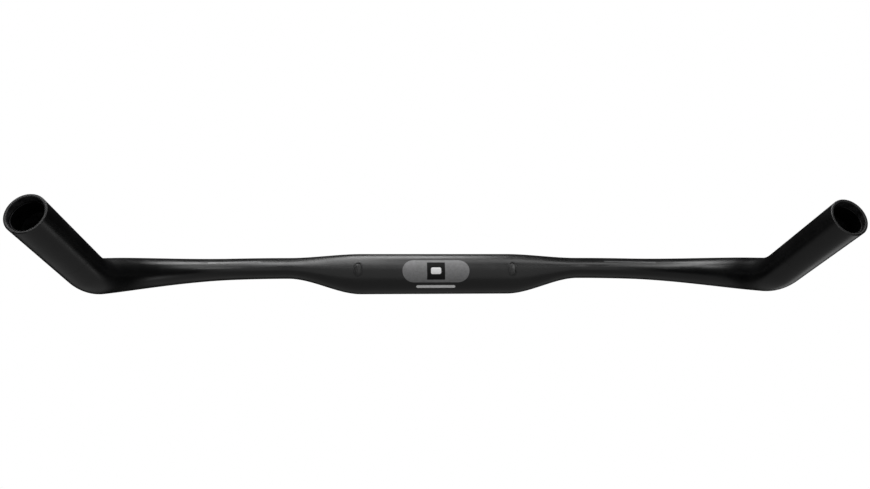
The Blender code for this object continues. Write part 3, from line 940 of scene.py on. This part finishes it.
def flat_oval_shape(size, depth):
    """The same oval, but flat, for the end inside the bar."""
    shape = oval_shape(size, 0.0)

    def place(angle):
        point = shape(angle)
        return Vector((point.x, depth - CLAMP_RADIUS, point.z))

    return place


def shrunk(size, amount):
    """An oval's size, less the amount all round."""
    return size[0] - 2 * amount, size[1] - 2 * amount


def scaled(size, factor):
    """An oval's size, times a factor."""
    return size[0] * factor, size[1] * factor


def stack(bm, shapes, closed):
    """Bridges a row of rings, and the last to the first if closed. Returns the first and last ring."""
    rings = [add_ring(bm, shape, index * MM, OVAL_SIDES) for index, shape in enumerate(shapes)]
    for first, second in zip(rings, rings[1:]):
        bridge(bm, first, second)
    if closed:
        bridge(bm, rings[-1], rings[0])
    return rings[0], rings[-1]


def rounded_edge(size, edge, depth, hole=False):
    """Three ovals that round the edge of a face, or of a hole in it, from its side to its front."""
    sign = -1 if hole else 1
    middle = EDGE_MIDDLE * edge
    return [oval_shape(size, depth + edge),
            oval_shape(shrunk(size, sign * middle), depth + middle),
            oval_shape(shrunk(size, sign * edge), depth)]


def make_port_frame(side_name):
    """The oval frame that lines a port."""
    bm = bmesh.new()
    inner = shrunk(FRAME_SIZE, FRAME_RIM)
    shapes = [flat_oval_shape(FRAME_SIZE, FRAME_DEPTH)]
    shapes += rounded_edge(FRAME_SIZE, FRAME_EDGE, 0.0)
    shapes += reversed(rounded_edge(inner, FRAME_EDGE, 0.0, hole=True))
    shapes.append(flat_oval_shape(inner, FRAME_DEPTH))
    stack(bm, shapes, closed=True)
    bmesh.ops.rotate(bm, verts=bm.verts, cent=(0, 0, 0), matrix=PORT_TURN)
    mirror_for(bm, SIDES[side_name])
    piece = finish_piece(bm, f"{side_name}_port_rim", [port_plastic])
    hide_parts(f"{side_name}_port_frame")


def make_port_plug(side_name):
    """The rubber plug, with a dish in its face. It rides on its own body."""
    bm = bmesh.new()
    size = shrunk(FRAME_SIZE, FRAME_RIM + PLUG_GAP)
    shapes = [flat_oval_shape(size, PLUG_DEPTH)]
    shapes += rounded_edge(size, PLUG_EDGE, PLUG_RECESS)
    for share in DISH_STEPS:
        shapes.append(oval_shape(scaled(size, 1.0 - share), PLUG_RECESS + DISH_DEPTH * ease(share)))
    ends = stack(bm, shapes, closed=False)
    for ring in ends:
        bmesh.ops.edgeloop_fill(bm, edges=ring)
    bmesh.ops.rotate(bm, verts=bm.verts, cent=(0, 0, 0), matrix=PORT_TURN)
    mirror_for(bm, SIDES[side_name])
    piece = finish_piece(bm, f"{side_name}_plug", [moulded_rubber], body=f"{side_name}_plug")
    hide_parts(f"{side_name}_port_plug")


for side_name in SIDES:
    make_port_frame(side_name)
    make_port_plug(side_name)

# %% [markdown]
# ## Decals
#
# The marks are foil under the lacquer, a few hundredths of a millimetre thick. Each one starts as a flat
# grid, so its outline is easy to trim. Then it is laid round the tube by turning its width into an
# angle, and gets its small thickness. The shapes are plain: a long grey panel, a dark tile in its
# window, a light bar in the tile, and a fine light line below.

# %% Badge
FOIL_LIFT = 0.02 * MM
FOIL_THICKNESS = 0.04 * MM
FOIL_FIT = 0.2 * MM
BADGE_ANGLE = math.radians(11.0)
LINE_ANGLE = math.radians(-36.0)
PANEL_WIDTH = 18.4 * MM
LINE_WIDTH = 2.6 * MM
WINDOW_SIZE = (14.0 * MM, 14.0 * MM)
TILE_SIZE = (WINDOW_SIZE[0] - FOIL_FIT, WINDOW_SIZE[1] - FOIL_FIT)
TILE_CORNER = 0.8 * MM
SLOT_SIZE = (8.2 * MM, 5.4 * MM)
BAR_SIZE = (SLOT_SIZE[0] - FOIL_FIT, SLOT_SIZE[1] - FOIL_FIT)
BAR_CORNER = 1.4 * MM


def node_length(node):
    """How far a frame node reaches along the bar."""
    low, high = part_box(node)
    return high.x - low.x


def on_clamp(angle):
    """A function that lays a flat sheet round the clamp zone, at an angle above its front."""
    radius = CLAMP_RADIUS + FOIL_LIFT

    def place(along, across):
        turn = angle + across / CLAMP_RADIUS
        return Vector((along, -radius * math.cos(turn), radius * math.sin(turn)))

    return place


def cut_window(bm, window):
    """Cuts a rectangle out of the middle of a flat sheet."""
    length, width = window
    for axis, half in (((1, 0, 0), length / 2), ((0, 1, 0), width / 2)):
        for side in SIDES.values():
            plane = Vector(axis) * side
            everything = bm.verts[:] + bm.edges[:] + bm.faces[:]
            bmesh.ops.bisect_plane(bm, geom=everything, plane_co=plane * half, plane_no=plane)
    inside = []
    for face in bm.faces:
        middle = face.calc_center_median()
        if abs(middle.x) < length / 2 and abs(middle.y) < width / 2:
            inside.append(face)
    bmesh.ops.delete(bm, geom=inside, context="FACES")


def make_foil(name, size, corner, place, material, node, window=None):
    """A foil with round corners on a curved surface, with a window in it if one is given."""
    length, width = size
    bm = bmesh.new()
    bmesh.ops.create_grid(bm, x_segments=24, y_segments=32, size=0.5)
    for point in bm.verts:
        across = math.sin(point.co.y * math.pi) * width / 2
        overshoot = max(0.0, abs(across) - (width / 2 - corner))
        trim = corner - math.sqrt(max(0.0, corner ** 2 - overshoot ** 2))
        point.co = (point.co.x * (length - 2 * trim), across, 0.0)
    if window:
        cut_window(bm, window)
    for point in bm.verts:
        point.co = place(point.co.x, point.co.y)
    bmesh.ops.recalc_face_normals(bm, faces=bm.faces)
    bmesh.ops.solidify(bm, geom=bm.faces[:], thickness=-FOIL_THICKNESS)
    piece = finish_piece(bm, name, [material])
    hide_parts(node)


badge_place = on_clamp(BADGE_ANGLE)
line_place = on_clamp(LINE_ANGLE)
make_foil("panel_foil", (node_length("badge_panel"), PANEL_WIDTH), PANEL_WIDTH / 2, badge_place,
          grey_foil, "badge_panel", WINDOW_SIZE)
make_foil("tile_foil", TILE_SIZE, TILE_CORNER, badge_place,
          black_foil, "badge_tile", SLOT_SIZE)
make_foil("bar_foil", BAR_SIZE, BAR_CORNER, badge_place, white_foil, "badge_bar")
make_foil("line_foil", (node_length("badge_underline"), LINE_WIDTH), LINE_WIDTH / 2, line_place,
          white_foil, "badge_underline")

# %% Wing stripes
STRIPE_START = 136.0 * MM
STRIPE_LENGTH = 45.0 * MM
STRIPE_WIDTH = 1.6 * MM
STRIPE_ANGLE = math.radians(37.5)


def make_wing_stripe(side_name):
    """A fine line of foil along the wing's upper front."""
    bm = bmesh.new()
    bmesh.ops.create_grid(bm, x_segments=30, y_segments=2, size=0.5)
    for point in bm.verts:
        distance = STRIPE_START + (point.co.x + 0.5) * STRIPE_LENGTH
        height, chord, _ = half_sizes(distance)
        slope = math.hypot(chord * math.sin(STRIPE_ANGLE), height * math.cos(STRIPE_ANGLE))
        angle = STRIPE_ANGLE + point.co.y * STRIPE_WIDTH / slope
        point.co = section_shape(distance, -FOIL_LIFT)(angle)
    bmesh.ops.recalc_face_normals(bm, faces=bm.faces)
    bmesh.ops.solidify(bm, geom=bm.faces[:], thickness=-FOIL_THICKNESS)
    mirror_for(bm, SIDES[side_name])
    piece = finish_piece(bm, f"{side_name}_stripe_foil", [dark_foil])
    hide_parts(f"{side_name}_wing_stripe")


for side_name in SIDES:
    make_wing_stripe(side_name)

# %% [markdown]
# ## Hidden pieces
#
# The clamp sleeve, the root ferrules and the cable liners stay as the frame has them, because their
# shapes are right and they show only through an open mouth. They only need finishes of their own.

# %% Finishes of the hidden pieces
HIDDEN_FINISHES = {
    "clamp_sleeve": rough_carbon,
    "left_root_ferrule": rough_carbon,
    "right_root_ferrule": rough_carbon,
    "left_cable_liner": liner_plastic,
    "right_cable_liner": liner_plastic,
}
for node_name, material in HIDDEN_FINISHES.items():
    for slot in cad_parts[node_name].material_slots:
        slot.material = material
print("finished", len(HIDDEN_FINISHES), "hidden pieces")
